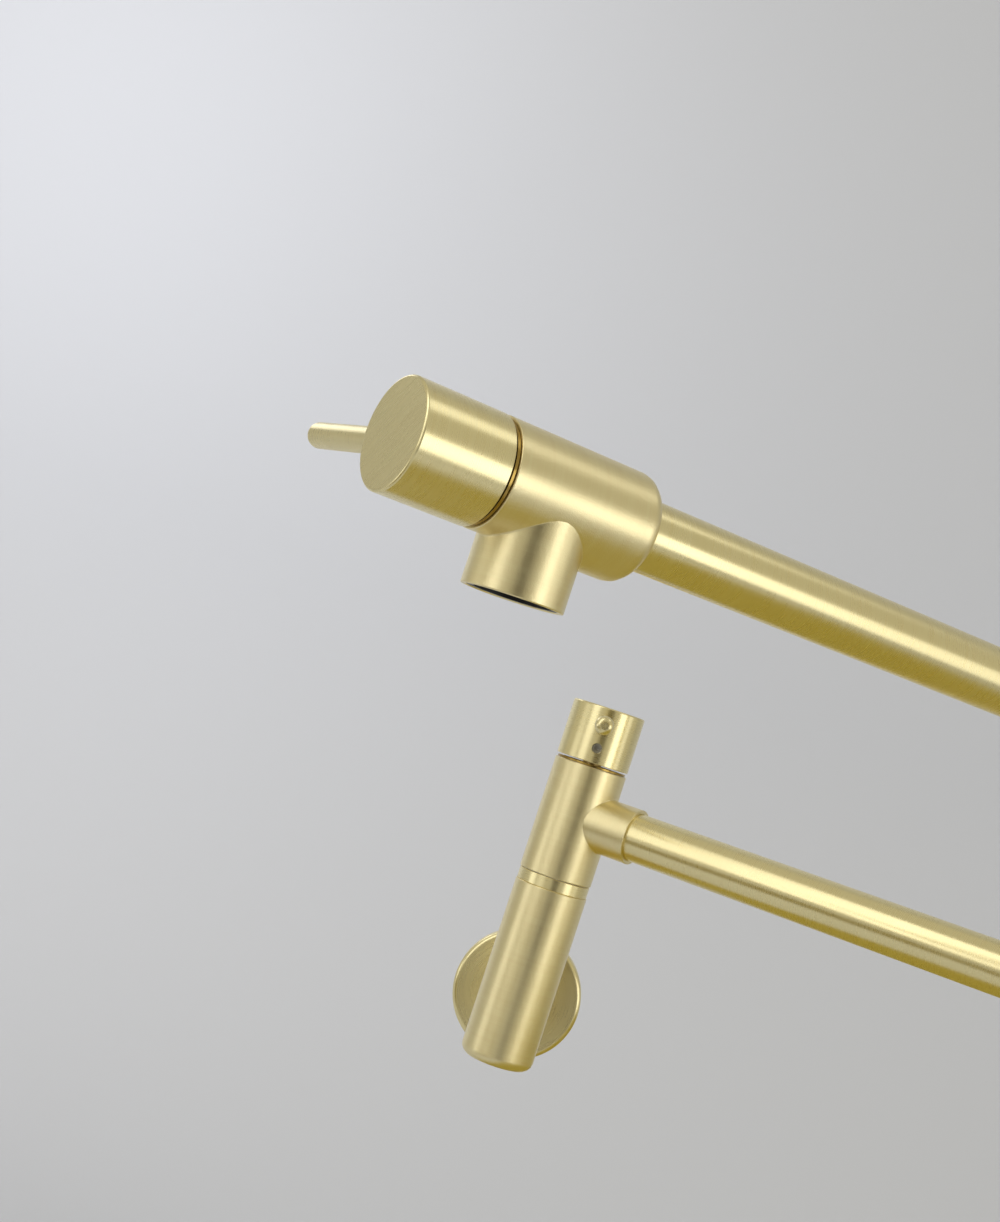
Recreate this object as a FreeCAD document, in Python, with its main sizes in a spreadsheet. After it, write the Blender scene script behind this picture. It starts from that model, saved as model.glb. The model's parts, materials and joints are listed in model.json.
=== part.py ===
import FreeCAD, Part
import os
import re
import Sketcher

# Wall mounted pot filler: a post on the wall, two swinging arms, and a horizontal head with the outlet.
# Millimetres. The origin is the inlet axis at the wall face, +Y goes into the wall, +Z is up.
# The arms rest part folded: the first arm swings out to the right and the second comes back over it.

doc = FreeCAD.newDocument("PotFiller")
sheet = doc.addObject("Spreadsheet::Sheet", "Dims")

# Driving dimensions: alias, value, what it is
dimensions = [
    ("wallStandoff", 62, "wall face to the axis of the wall post"),
    ("armOneHeight", 84, "inlet axis up to the first arm's axis"),
    ("armRise", 87.4, "first arm's axis up to the second arm's axis"),
    ("armOneLength", 244, "post axis to elbow axis"),
    ("armTwoLength", 308, "elbow axis to outlet axis"),
    ("armOneAngle", -26, "first arm at rest, degrees from +X"),
    ("armTwoAngle", 215.3, "second arm at rest, elbow to head, degrees from +X"),
    ("fitClearance", 0.05, "radial clearance of fixed pieces"),
    ("runClearance", 0.06, "radial clearance of turning pieces"),
    ("endPlay", 0.1, "axial clearance of turning pieces"),
    ("edgeBreak", 0.3, "small chamfer on outer edges"),
    ("postRadius", 15, "post, elbow, head and knobs"),
    ("footRound", 4.2, "rounding of the closed end of a post or the head"),
    ("postFoot", 20, "inlet axis down to the foot of the wall post"),
    ("elbowFoot", 22, "first arm's axis down to the foot of the elbow"),
    ("sleeveDrop", 25.8, "arm axis down to the ring under a sleeve"),
    ("sleeveRise", 21.9, "arm axis up to the middle of the knob gap"),
    ("ringHeight", 4.8, "thin ring between the fixed and turning halves"),
    ("ringRadius", 14.7, "outer radius of that ring"),
    ("ringBevel", 0.2, "chamfer of that ring"),
    ("slot", 0.3, "open slot above that ring"),
    ("knobGap", 1.7, "gap between a knob and its body"),
    ("boreRadius", 13, "bore of a sleeve"),
    ("recessRadius", 14, "recess for a bearing ring in the end of a sleeve"),
    ("recessDepth", 1.2, "depth of that recess"),
    ("capRecess", 4, "recess under the elbow cap"),
    ("bearingWidth", 0.9, "radial width of a bearing ring"),
    ("tubeRadius", 9.75, "arm tube, outside"),
    ("tubeWall", 1.25, "arm tube wall"),
    ("collarRadius", 11.25, "socket collar of an arm tube"),
    ("collarReach", 28.5, "axis to the end of the collar"),
    ("socketDepth", 12, "depth of a tube socket"),
    ("waterRadius", 7.5, "water passage to a tube"),
    ("coreShankRadius", 10.95, "screwed-in foot of a core"),
    ("coreShank", 28, "length of that foot"),
    ("coreBore", 6, "water bore of a core"),
    ("coreCover", 9.5, "second arm's axis up to the closed end of the elbow core's bore"),
    ("elbowWindow", 4.2, "windows of the elbow core"),
    ("coreWaist", 10.9, "core between its two sealing lands"),
    ("lowerLandTop", -18.5, "top of the lower sealing land, from the arm axis"),
    ("lowerSealFloor", -22.8, "floor of the lower seal groove, from the arm axis"),
    ("grooveRadius", 10.55, "bottom radius of a seal groove"),
    ("grooveWidth", 2.4, "width of a seal groove"),
    ("postLandDrop", 8.4, "knob gap down to the upper sealing land of the post core"),
    ("postSealDrop", 6.4, "knob gap down to the seal groove in that land"),
    ("elbowLandDrop", 12.4, "top of the elbow down to the upper sealing land of its core"),
    ("elbowSealDrop", 10.4, "top of the elbow down to the seal groove in that land"),
    ("ringSection", 1.1, "section radius of a rubber ring"),
    ("chamberFloor", 6, "inlet axis down to the floor of the post's water chamber"),
    ("elbowChamber", 8.5, "first arm's axis down to the floor of the elbow's water chamber"),
    ("inletPipeRadius", 12.5, "pipe from the post to the wall"),
    ("pipeBack", 3, "wall face to the end of that pipe"),
    ("inletBore", 5.8, "bore of the inlet nipple"),
    ("threadRadius", 10.478, "G 1/2 thread, outside"),
    ("nippleWaist", 9.6, "plain waist between the two threads of the nipple"),
    ("nippleReach", 15, "nipple beyond the wall face"),
    ("nippleDepth", 16, "nipple socket in the pipe"),
    ("nippleHex", 6.93, "corner radius of the 12 mm hexagon in the nipple"),
    ("screenSeat", 6, "depth of the strainer in the nipple"),
    ("screenRadius", 8, "strainer seat radius"),
    ("screenThickness", 0.8, "strainer and aerator mesh"),
    ("meshHole", 0.11, "mesh holes, share of the mesh radius"),
    ("meshInner", 0.4, "inner ring of mesh holes, share of the mesh radius"),
    ("meshOuter", 0.75, "outer ring of mesh holes, share of the mesh radius"),
    ("washerThickness", 1.5, "flat rubber washers"),
    ("flangeRadius", 28, "wall flange"),
    ("flangeThickness", 8, "wall flange"),
    ("flangeRound", 2, "rounding of the flange's front edge"),
    ("sealInner", 21, "flange seal, inside"),
    ("sealOuter", 25, "flange seal, outside"),
    ("headBack", 47.3, "knob gap to the closed end of the head"),
    ("outletOffset", 19.2, "knob gap to the outlet axis"),
    ("outletRadius", 13.7, "outlet stub"),
    ("outletDrop", 27.5, "head axis down to the rim of the outlet"),
    ("outletFillet", 0.8, "fillet where the stub meets the head"),
    ("aeratorSeat", 12.3, "aerator seat in the stub, radius"),
    ("aeratorDepth", 12, "aerator seat in the stub, depth"),
    ("aeratorInset", 0.3, "rim down to the aerator"),
    ("aeratorBore", 10.3, "aerator housing, inside"),
    ("outletBore", 7.5, "water bore above the aerator"),
    ("outletBreak", 1, "how far that bore breaks into the valve pocket"),
    ("formerHeight", 3, "flow former of the aerator"),
    ("formerHole", 1.1, "holes of the flow former"),
    ("formerCircle", 5.6, "outlet axis to the middle of a hole in the flow former"),
    ("pocketRadius", 9.55, "valve pocket"),
    ("pocketDepth", 24, "knob gap to the pocket's floor"),
    ("portRadius", 2.2, "ports of the ceramic discs and windows"),
    ("portCircle", 4.2, "axis to the middle of a port"),
    ("windowDepth", 14.8, "knob gap to the windows of a cartridge"),
    ("discRadius", 7.8, "ceramic discs"),
    ("discThickness", 2.5, "ceramic discs"),
    ("sealThickness", 2, "seal under the fixed disc"),
    ("forkHeight", 4.2, "fork of the spindle"),
    ("spindleFlange", 1.4, "flange of the spindle above its fork"),
    ("spindleRadius", 3.95, "spindle"),
    ("spindleTop", 10.8, "knob gap to the end of the spindle"),
    ("glandCover", 1, "housing between the spindle's flange and its seal"),
    ("glandSection", 0.9, "section radius of the spindle's seal"),
    ("nutDepth", 6, "knob gap to the cartridge nut's underside"),
    ("nutHeight", 4.5, "cartridge nut"),
    ("nutPlay", 0.5, "cartridge nut round the spindle's bearing, radial"),
    ("nutHole", 1.1, "spanner holes of the cartridge nut"),
    ("nutHoleCircle", 7.05, "axis to the middle of a spanner hole"),
    ("neckRadius", 14.3, "neck ring in the knob gap"),
    ("neckLift", 0.15, "body up to the part of the neck ring that shows"),
    ("neckHeight", 0.85, "neck ring, part that shows"),
    ("neckHub", 12.9, "neck ring, hub radius"),
    ("spigotRadius", 11.5, "spigot that carries the neck ring"),
    ("spigotDrop", 2, "knob gap to the foot of the neck ring"),
    ("wallKnobLength", 23, "wall knob"),
    ("wallLeverDrop", 7.5, "end of the wall knob to its lever"),
    ("headKnobLength", 26.2, "head knob"),
    ("headLeverDrop", 9, "end of the head knob to its lever"),
    ("knobEdge", 0.45, "chamfer round the face of a knob"),
    ("knobRecess", 12.6, "recess in the underside of a knob"),
    ("knobRecessDepth", 3.5, "knob gap to the floor of that recess"),
    ("insertRadius", 6, "broached insert of a knob"),
    ("insertTop", 12, "knob gap to the end of the insert"),
    ("leverRadius", 3.6, "lever rod"),
    ("leverReach", 62.3, "knob axis to the tip of the lever"),
    ("leverSeat", 9, "knob axis to the root of the lever"),
    ("leverRound", 2.4, "rounding of the lever's tip"),
    ("screwRadius", 2, "grub screws"),
    ("screwLength", 6, "grub screws"),
    ("screwHex", 1.15, "corner radius of a grub screw's hexagon"),
    ("screwHeight", 7, "knob gap to the grub screw of a knob"),
    ("capHeight", 5, "elbow cap above the sleeve"),
    ("capSpigot", 1.05, "spigot of the elbow cap"),
    ("capHollow", 12.6, "hollow under the elbow cap"),
    ("clipRadius", 12.3, "retaining clip, outside"),
    ("clipSeat", 8.2, "groove of the retaining clip, radius"),
    ("clipThickness", 1.1, "retaining clip"),
    ("clipSpigot", 9, "end of the elbow core"),
    ("clipOpening", 7, "mouth of the retaining clip"),
]

# Places that follow from them
derived = [
    ("elbowX", "armOneLength * cos(armOneAngle)"),
    ("elbowY", "armOneLength * sin(armOneAngle) - wallStandoff"),
    ("headReach", "armTwoLength + outletOffset"),
    ("landRadius", "boreRadius - runClearance"),
    ("ringTop", "-sleeveDrop"),
    ("ringBottom", "-sleeveDrop - ringHeight"),
    ("sleeveBottom", "slot - sleeveDrop"),
    ("sleeveTop", "sleeveRise - knobGap / 2"),
    ("lowerBearingTop", "sleeveBottom + recessDepth - endPlay"),
    ("neckBottom", "neckLift - knobGap / 2"),
    ("neckTop", "neckBottom + neckHeight"),
    ("nutBottom", "-nutDepth"),
    ("discBottom", "sealThickness - pocketDepth"),
    ("discMiddle", "discBottom + discThickness"),
    ("discTop", "discBottom + 2 * discThickness"),
    ("forkTop", "discTop + forkHeight"),
    ("flangeTop", "forkTop + spindleFlange"),
    ("knobBottom", "knobGap / 2"),
    ("aeratorTop", "outletDrop - aeratorDepth"),
    ("aeratorBottom", "outletDrop - aeratorInset"),
    ("clipFloor", "sleeveTop - capRecess + washerThickness + 2 * endPlay"),
    ("clipTop", "clipFloor + clipThickness"),
    ("postUpperLand", "sleeveRise - postLandDrop"),
    ("postUpperSeal", "sleeveRise - postSealDrop"),
    ("elbowUpperLand", "sleeveRise - elbowLandDrop"),
    ("elbowUpperSeal", "sleeveRise - elbowSealDrop"),
    ("glandFloor", "flangeTop + endPlay + glandCover"),
    ("glandMiddle", "glandFloor + endPlay + glandSection"),
    ("glandRoof", "glandMiddle + glandSection + endPlay"),
]

names = [row[0] for row in dimensions] + [row[0] for row in derived]
aliasWords = re.compile(r"\b(" + "|".join(names) + r")\b")


def formula(text):
    """The same formula with every driving dimension written as a cell of the sheet."""
    return aliasWords.sub(r"Dims.\1", text)


def bind(thing, prop, text):
    thing.setExpression(prop, formula(text))


for row, (alias, value, note) in enumerate(dimensions, start=1):
    sheet.set("A%d" % row, note)
    sheet.set("B%d" % row, str(value))
    sheet.setAlias("B%d" % row, alias)
for row, (alias, text) in enumerate(derived, start=len(dimensions) + 1):
    sheet.set("B%d" % row, "=" + text)
    sheet.setAlias("B%d" % row, alias)
doc.recompute()

# Frames. In each valve frame Z points to the knob and 0 is the middle of the knob gap.
noTurn = "rotation(vector(0; 0; 1); 0)"
postFrame = "placement(vector(0; -wallStandoff; 0); " + noTurn + ")"
postLevel = "placement(vector(0; -wallStandoff; armOneHeight); " + noTurn + ")"
inletFrame = "placement(vector(0; 0; 0); rotation(vector(1; 0; 0); 90))"
armOneFrame = (
    "placement(vector(0; -wallStandoff; armOneHeight); rotation(vector(0; 0; 1); armOneAngle))"
)
elbowFrame = (
    "placement(vector(elbowX; elbowY; armOneHeight); rotation(vector(0; 0; 1); armOneAngle + 180))"
)
elbowLevel = (
    "placement(vector(elbowX; elbowY; armOneHeight + armRise);"
    " rotation(vector(0; 0; 1); armOneAngle + 180))"
)
armTwoFrame = (
    "placement(vector(elbowX; elbowY; armOneHeight + armRise);"
    " rotation(vector(0; 0; 1); armTwoAngle))"
)
wallValveFrame = "placement(vector(0; -wallStandoff; armOneHeight + sleeveRise); " + noTurn + ")"
alongX = " * placement(vector(0; 0; 0); rotation(vector(0; 1; 0); 90))"
headFrame = armTwoFrame + " * placement(vector(headReach; 0; 0); rotation(vector(0; 1; 0); 90))"

parts = []
tolerance = 0.01
roughCentre, roughRadius = 40, 20    # the ring on which the corners of an outline start


def keep(thing, label, frame):
    """Names a finished sub-part and puts it in its frame."""
    thing.Label = label
    bind(thing, "Placement", frame)
    parts.append(thing)
    return thing


def new_sketch(body, role, offset):
    """A sketch on one of the body's own origin planes, moved along its normal."""
    sketch = body.newObject("Sketcher::SketchObject", body.Name + "Sketch")
    plane = next(item for item in body.Origin.OriginFeatures if item.Role == role)
    sketch.AttachmentSupport = [(plane, "")]
    sketch.MapMode = "FlatFace"
    if offset != "0":
        bind(sketch, "AttachmentOffset.Base.z", offset)
    return sketch


def tie_point(sketch, geometry, corner, start, target):
    """Holds a point at a target given by two formulas; a zero puts it on the axis."""
    kinds = (("DistanceX", -2), ("DistanceY", -1))
    for (kind, axis), first, text in zip(kinds, start, target):
        if text == "0":
            sketch.addConstraint(Sketcher.Constraint("PointOnObject", geometry, corner, axis))
        else:
            number = sketch.addConstraint(Sketcher.Constraint(kind, -1, 1, geometry, corner, first))
            bind(sketch, "Constraints[%d]" % number, text)


def draw_outline(sketch, points):
    """A closed outline through points whose two places are formulas."""
    count = len(points)
    # the corners start on a rough ring and the distances then carry them to their places
    starts = []
    for index, (across, up) in enumerate(points):
        turn = FreeCAD.Rotation(FreeCAD.Vector(0, 0, 1), 360.0 * index / count)
        spot = FreeCAD.Vector(roughCentre, 0, 0) + turn.multVec(FreeCAD.Vector(roughRadius, 0, 0))
        starts.append((0.0 if across == "0" else spot.x, 0.0 if up == "0" else spot.y))
    for index in range(count):
        first = FreeCAD.Vector(starts[index][0], starts[index][1], 0)
        second = FreeCAD.Vector(*starts[(index + 1) % count], 0)
        sketch.addGeometry(Part.LineSegment(first, second), False)
    for index in range(count):
        follower = (index + 1) % count
        sketch.addConstraint(Sketcher.Constraint("Coincident", index, 2, follower, 1))
    for index, target in enumerate(points):
        tie_point(sketch, index, 1, starts[index], target)


def draw_circle(sketch, centre, radius):
    start = [0.0 if text == "0" else 5.0 for text in centre]
    circle = Part.Circle(FreeCAD.Vector(start[0], start[1], 0), FreeCAD.Vector(0, 0, 1), 3.0)
    sketch.addGeometry(circle, False)
    tie_point(sketch, 0, 3, start, centre)
    number = sketch.addConstraint(Sketcher.Constraint("Radius", 0, 3.0))
    bind(sketch, "Constraints[%d]" % number, radius)


def spin(body, kind, points):
    """A turned feature: the outline goes round the body's Z axis."""
    sketch = new_sketch(body, "XZ_Plane", "0")
    draw_outline(sketch, points)
    feature = body.newObject("PartDesign::" + kind, body.Name + kind)
    feature.Profile = sketch
    feature.ReferenceAxis = (sketch, ["V_Axis"])
    feature.Angle = 360.0
    doc.recompute()
    return feature


def extrude(body, kind, role, start, depth, draw):
    """A pad or pocket that runs along the plane's normal from start, over a depth."""
    sketch = new_sketch(body, role, start)
    draw(sketch)
    before = body.Shape.Volume if body.Tip else 0.0
    feature = body.newObject("PartDesign::" + kind, body.Name + kind)
    feature.Profile = sketch
    bind(feature, "Length", depth)
    feature.Reversed = kind == "Pocket"
    doc.recompute()
    if abs(body.Shape.Volume - before) < tolerance:
        raise ValueError(body.Label + ": a " + kind + " changes nothing")
    return feature


def bore(body, role, start, depth, centre, radius):
    return extrude(body, "Pocket", role, start, depth, lambda s: draw_circle(s, centre, radius))


def boss(body, role, start, depth, centre, radius):
    return extrude(body, "Pad", role, start, depth, lambda s: draw_circle(s, centre, radius))


def repeat_round(body, feature, count):
    """Copies a feature round the body's Z axis."""
    pattern = body.newObject("PartDesign::PolarPattern", body.Name + "Pattern")
    pattern.Originals = [feature]
    axis = next(item for item in body.Origin.OriginFeatures if item.Role == "Z_Axis")
    pattern.Axis = (axis, [""])
    pattern.Angle = 360.0
    pattern.Occurrences = count
    body.Tip = pattern
    doc.recompute()
    return pattern


def soften(body, kind, size, wanted):
    """A fillet or chamfer on the edges that pass the test."""
    base = body.Tip
    edges = ["Edge%d" % (n + 1) for n, edge in enumerate(base.Shape.Edges) if wanted(edge)]
    feature = body.newObject("PartDesign::" + kind, body.Name + kind)
    feature.Base = (base, edges)
    bind(feature, "Radius" if kind == "Fillet" else "Size", size)
    doc.recompute()
    return feature


def is_rim(edge, radius, place, axis):
    """Whether an edge is a full circle of that radius whose centre lies at place on the axis."""
    curve = edge.Curve
    if not isinstance(curve, Part.Circle):
        return False
    return abs(curve.Radius - radius) < tolerance and abs(curve.Center[axis] - place) < tolerance


def turned(label, frame, points):
    """A turned sub-part."""
    body = doc.addObject("PartDesign::Body", label)
    spin(body, "Revolution", points)
    return keep(body, label, frame)


def ring(label, frame, inner, outer, low, high):
    return turned(label, frame, [(inner, low), (outer, low), (outer, high), (inner, high)])


def rubber_rings(label, frame, heights):
    """Rubber rings in the seal grooves of a core, one node of separate rings."""
    rings = []
    for height in heights:
        torus = doc.addObject("Part::Torus", label + "Ring")
        bind(torus, "Radius1", "grooveRadius + fitClearance + ringSection")
        bind(torus, "Radius2", "ringSection")
        bind(torus, "Placement.Base.z", height + " + grooveWidth / 2")
        rings.append(torus)
    group = doc.addObject("Part::Compound", label)
    group.Links = rings
    return keep(group, label, frame)


def rod(name, kind, radius, low, height):
    """A plain rod, or a hexagonal one whose radius is to its corners, standing on the Z axis."""
    solid = doc.addObject("Part::" + kind, name)
    if kind == "Prism":
        solid.Polygon = 6
        bind(solid, "Circumradius", radius)
    else:
        bind(solid, "Radius", radius)
    bind(solid, "Height", height)
    bind(solid, "Placement.Base.z", low)
    return solid


def stack(name, pieces):
    """Rods fused on one axis: kind, radius, low end and height of each."""
    fused = doc.addObject("Part::MultiFuse", name)
    fused.Shapes = [rod(name + kind, kind, radius, low, height) for kind, radius, low, height in pieces]
    return fused


def grub_screw(label, frame):
    """A headless screw with a hexagon socket in its outer end."""
    screw = doc.addObject("Part::Cut", label)
    screw.Base = rod(label + "Rod", "Cylinder", "screwRadius", "0", "screwLength")
    screw.Tool = rod(label + "Socket", "Prism", "screwHex", "screwLength / 2", "screwLength / 2")
    return keep(screw, label, frame)


# Wall side

def wall_flange():
    """Round cover plate with a seal groove in its back and a screw hole below."""
    hole = "inletPipeRadius + fitClearance"
    body = turned("wall_flange", inletFrame, [
        (hole, "0"), ("sealInner", "0"), ("sealInner", "washerThickness"),
        ("sealOuter", "washerThickness"), ("sealOuter", "0"), ("flangeRadius", "0"),
        ("flangeRadius", "flangeThickness"), (hole, "flangeThickness")])
    front = sheet.flangeThickness
    soften(body, "Fillet", "flangeRound", lambda e: is_rim(e, sheet.flangeRadius, front, 2))
    bore(body, "XZ_Plane", "inletPipeRadius", "flangeRadius - inletPipeRadius",
         ("0", "flangeThickness / 2"), "screwRadius + fitClearance")
    return body


def inlet_nipple():
    """Male nipple for the wall elbow, waisted between its threads, with a hexagon in its bore."""
    end = "pipeBack + nippleDepth - washerThickness"
    inner = "nippleDepth - washerThickness"
    nipple = doc.addObject("Part::Cut", "inlet_nipple")
    nipple.Base = stack("nippleRods", [
        ("Cylinder", "threadRadius", "-nippleReach", "nippleReach"),
        ("Cylinder", "nippleWaist", "0", "pipeBack"),
        ("Cylinder", "threadRadius", "pipeBack", inner)])
    nipple.Tool = stack("nipplePassage", [
        ("Cylinder", "screenRadius", "-nippleReach", "screenSeat"),
        ("Cylinder", "inletBore", "-nippleReach", "nippleReach + " + end),
        ("Prism", "nippleHex", "pipeBack", inner)])
    keep(nipple, "inlet_nipple", inletFrame)


def mesh_disc(label, frame, radius, low):
    """Thin plate with a middle hole and two rings of holes."""
    body = doc.addObject("PartDesign::Body", label)
    boss(body, "XY_Plane", low, "screenThickness", ("0", "0"), radius)
    hole = radius + " * meshHole"
    bore(body, "XY_Plane", low, "screenThickness", ("0", "0"), hole)
    for circle, count in (("meshInner", 8), ("meshOuter", 16)):
        first = bore(body, "XY_Plane", low, "screenThickness", (radius + " * " + circle, "0"), hole)
        repeat_round(body, first, count)
    return keep(body, label, frame)


def fixed_half(label, frame, foot, top):
    """Lower half of a post: a bar with a rounded foot and a socket for the core's foot."""
    body = turned(label, frame, [
        ("0", foot), ("postRadius", foot), ("postRadius", top + " - edgeBreak"),
        ("postRadius - edgeBreak", top), ("0", top)])
    low = min(edge.BoundBox.ZMin for edge in body.Shape.Edges)
    soften(body, "Fillet", "footRound", lambda e: is_rim(e, sheet.postRadius, low, 2))
    return body


def core_socket(body, top, floor):
    """Stepped bore: a water chamber below and the seat of the core's foot above."""
    shoulder = top + " - coreShank - endPlay"
    seat = "coreShankRadius + fitClearance"
    spin(body, "Groove", [
        ("0", floor), ("waterRadius", floor), ("waterRadius", shoulder), (seat, shoulder),
        (seat, top), ("0", top)])


def tube_socket(body):
    """Socket and water passage for an arm tube in a collar along +X."""
    bore(body, "YZ_Plane", "0", "collarReach", ("0", "0"), "waterRadius")
    bore(body, "YZ_Plane", "collarReach - socketDepth", "socketDepth", ("0", "0"),
         "tubeRadius + fitClearance")


def collar(body):
    boss(body, "YZ_Plane", "0", "collarReach", ("0", "0"), "collarRadius")
    soften(body, "Chamfer", "edgeBreak", lambda e: is_rim(e, sheet.collarRadius, sheet.collarReach, 0))


def inlet_body():
    """Lower half of the wall post with the pipe that runs back to the wall."""
    top = "armOneHeight + ringBottom"
    body = fixed_half("inlet_body", postFrame, "-postFoot", top)
    reach = "wallStandoff - pipeBack"
    back = "pipeBack - wallStandoff"
    boss(body, "XZ_Plane", back, reach, ("0", "0"), "inletPipeRadius")
    core_socket(body, top, "-chamberFloor")
    bore(body, "XZ_Plane", back, reach, ("0", "0"), "waterRadius")
    bore(body, "XZ_Plane", back, "nippleDepth", ("0", "0"), "threadRadius + fitClearance")
    return body


def swivel_core(label, frame, upperLand, upperSeal, landTop, end):
    """Fixed stem of a swivel: screwed foot, two sealing lands with grooves, and its own end."""
    foot = "ringBottom - coreShank"
    sealTop = " + grooveWidth"
    outline = [
        ("coreBore", foot), ("coreShankRadius", foot), ("coreShankRadius", "ringBottom"),
        ("landRadius", "ringBottom"), ("landRadius", "lowerSealFloor"),
        ("grooveRadius", "lowerSealFloor"), ("grooveRadius", "lowerSealFloor" + sealTop),
        ("landRadius", "lowerSealFloor" + sealTop), ("landRadius", "lowerLandTop"),
        ("coreWaist", "lowerLandTop"), ("coreWaist", upperLand), ("landRadius", upperLand),
        ("landRadius", upperSeal), ("grooveRadius", upperSeal),
        ("grooveRadius", upperSeal + sealTop), ("landRadius", upperSeal + sealTop),
        ("landRadius", landTop)]
    return turned(label, frame, outline + end)


def cross_windows(body, height, radius):
    """Four windows through the wall of a core."""
    for role in ("YZ_Plane", "XZ_Plane"):
        bore(body, role, "-boreRadius", "2 * boreRadius", ("0", height), radius)


def post_core():
    """Stem of the wall post, with the pocket of the wall valve in its upper end."""
    landTop = "sleeveRise - spigotDrop"
    spigotTop = "sleeveRise + neckTop"
    floor = "sleeveRise - pocketDepth"
    body = swivel_core("post_core", postLevel, "postUpperLand", "postUpperSeal", landTop, [
        ("spigotRadius", landTop), ("spigotRadius", spigotTop), ("pocketRadius", spigotTop),
        ("pocketRadius", floor), ("coreBore", floor)])
    cross_windows(body, "sleeveRise - windowDepth", "portRadius")


def elbow_core():
    """Stem of the elbow, closed above the windows, with the groove of its clip."""
    end = "sleeveTop - endPlay * 3"
    grooveTop = "clipTop + endPlay"
    landTop = "sleeveTop - capRecess - endPlay"
    body = swivel_core("elbow_core", elbowLevel, "elbowUpperLand", "elbowUpperSeal", landTop, [
        ("clipSpigot", landTop), ("clipSpigot", "clipFloor"), ("clipSeat", "clipFloor"),
        ("clipSeat", grooveTop), ("clipSpigot", grooveTop), ("clipSpigot", end), ("0", end),
        ("0", "coreCover"), ("coreBore", "coreCover")])
    cross_windows(body, "0", "elbowWindow")


def swivel_sleeve(label, frame, topRecess):
    """Turning half of a post: tube with bearing recesses and the collar of an arm."""
    body = turned(label, frame, [
        ("0", "sleeveBottom"), ("postRadius - edgeBreak", "sleeveBottom"),
        ("postRadius", "sleeveBottom + edgeBreak"), ("postRadius", "sleeveTop - edgeBreak"),
        ("postRadius - edgeBreak", "sleeveTop"), ("0", "sleeveTop")])
    collar(body)
    lowRecess = "sleeveBottom + recessDepth"
    highRecess = "sleeveTop - " + topRecess
    spin(body, "Groove", [
        ("0", "sleeveBottom"), ("recessRadius", "sleeveBottom"), ("recessRadius", lowRecess),
        ("boreRadius", lowRecess), ("boreRadius", highRecess), ("recessRadius", highRecess),
        ("recessRadius", "sleeveTop"), ("0", "sleeveTop")])
    tube_socket(body)
    return body


def arm_tube(label, frame, start, end):
    ring(label, frame + alongX, "tubeRadius - tubeWall", "tubeRadius", start, end)


def swivel_rings(prefix, frame):
    """The thin ring between the halves of a post and the bearing ring on top of it."""
    turned(prefix + "_ring", frame, [
        ("boreRadius", "ringBottom"), ("ringRadius - ringBevel", "ringBottom"),
        ("ringRadius", "ringBottom + ringBevel"), ("ringRadius", "ringTop - ringBevel"),
        ("ringRadius - ringBevel", "ringTop"), ("boreRadius", "ringTop")])
    ring(prefix + "_lower_bearing", frame, "boreRadius", "boreRadius + bearingWidth",
         "ringTop", "lowerBearingTop")


def elbow_clip():
    """Open spring ring that keeps the upper sleeve on the elbow core."""
    body = doc.addObject("PartDesign::Body", "elbow_clip")
    inner = "clipSeat + fitClearance"
    spin(body, "Revolution", [
        (inner, "clipFloor"), ("clipRadius", "clipFloor"), ("clipRadius", "clipTop"), (inner, "clipTop")])
    half = "clipOpening / 2"
    beyond = "2 * clipRadius"
    mouth = [("0", "-" + half), (beyond, "-" + half), (beyond, half), ("0", half)]
    extrude(body, "Pocket", "XY_Plane", "clipFloor", "clipThickness", lambda s: draw_outline(s, mouth))
    keep(body, "elbow_clip", elbowLevel)


def elbow_cap():
    """Flat cap on the elbow, with a spigot in the sleeve's recess."""
    spigotLow = "sleeveTop - capSpigot"
    top = "sleeveTop + capHeight"
    hub = "recessRadius - fitClearance"
    turned("elbow_cap", armTwoFrame, [
        ("0", "sleeveTop"), ("capHollow", "sleeveTop"), ("capHollow", spigotLow),
        (hub, spigotLow), (hub, "sleeveTop"), ("postRadius - edgeBreak", "sleeveTop"),
        ("postRadius", "sleeveTop + edgeBreak"), ("postRadius", top + " - knobEdge"),
        ("postRadius - knobEdge", top), ("0", top)])


# Head

def head_body():
    """Horizontal head: rounded end on the tube, valve pocket at the knob, outlet stub below."""
    face = "-knobGap / 2"
    hub = "neckHub + fitClearance"
    body = turned("head_body", headFrame, [
        ("0", "-headBack"), ("postRadius", "-headBack"), ("postRadius", face + " - edgeBreak"),
        ("postRadius - edgeBreak", face), (hub, face), (hub, "-spigotDrop"),
        ("spigotRadius", "-spigotDrop"), ("spigotRadius", "neckTop"), ("0", "neckTop")])
    soften(body, "Fillet", "footRound", lambda e: is_rim(e, sheet.postRadius, -sheet.headBack, 2))
    boss(body, "YZ_Plane", "0", "outletDrop", ("0", "-outletOffset"), "outletRadius")
    outward = sheet.postRadius / 2
    soften(body, "Fillet", "outletFillet",
           lambda e: isinstance(e.Curve, Part.BSplineCurve) and e.BoundBox.XMax > outward)
    spin(body, "Groove", [
        ("0", "-headBack"), ("tubeRadius + fitClearance", "-headBack"),
        ("tubeRadius + fitClearance", "socketDepth - headBack"),
        ("waterRadius", "socketDepth - headBack"), ("waterRadius", "-pocketDepth - outletFillet"),
        ("coreBore", "-pocketDepth"), ("pocketRadius", "-pocketDepth"),
        ("pocketRadius", "neckTop"), ("0", "neckTop")])
    bore(body, "YZ_Plane", "pocketRadius - outletBreak", "outletDrop - pocketRadius + outletBreak",
         ("0", "-outletOffset"), "outletBore")
    bore(body, "YZ_Plane", "aeratorTop", "aeratorDepth", ("0", "-outletOffset"), "aeratorSeat")
    return body


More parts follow.
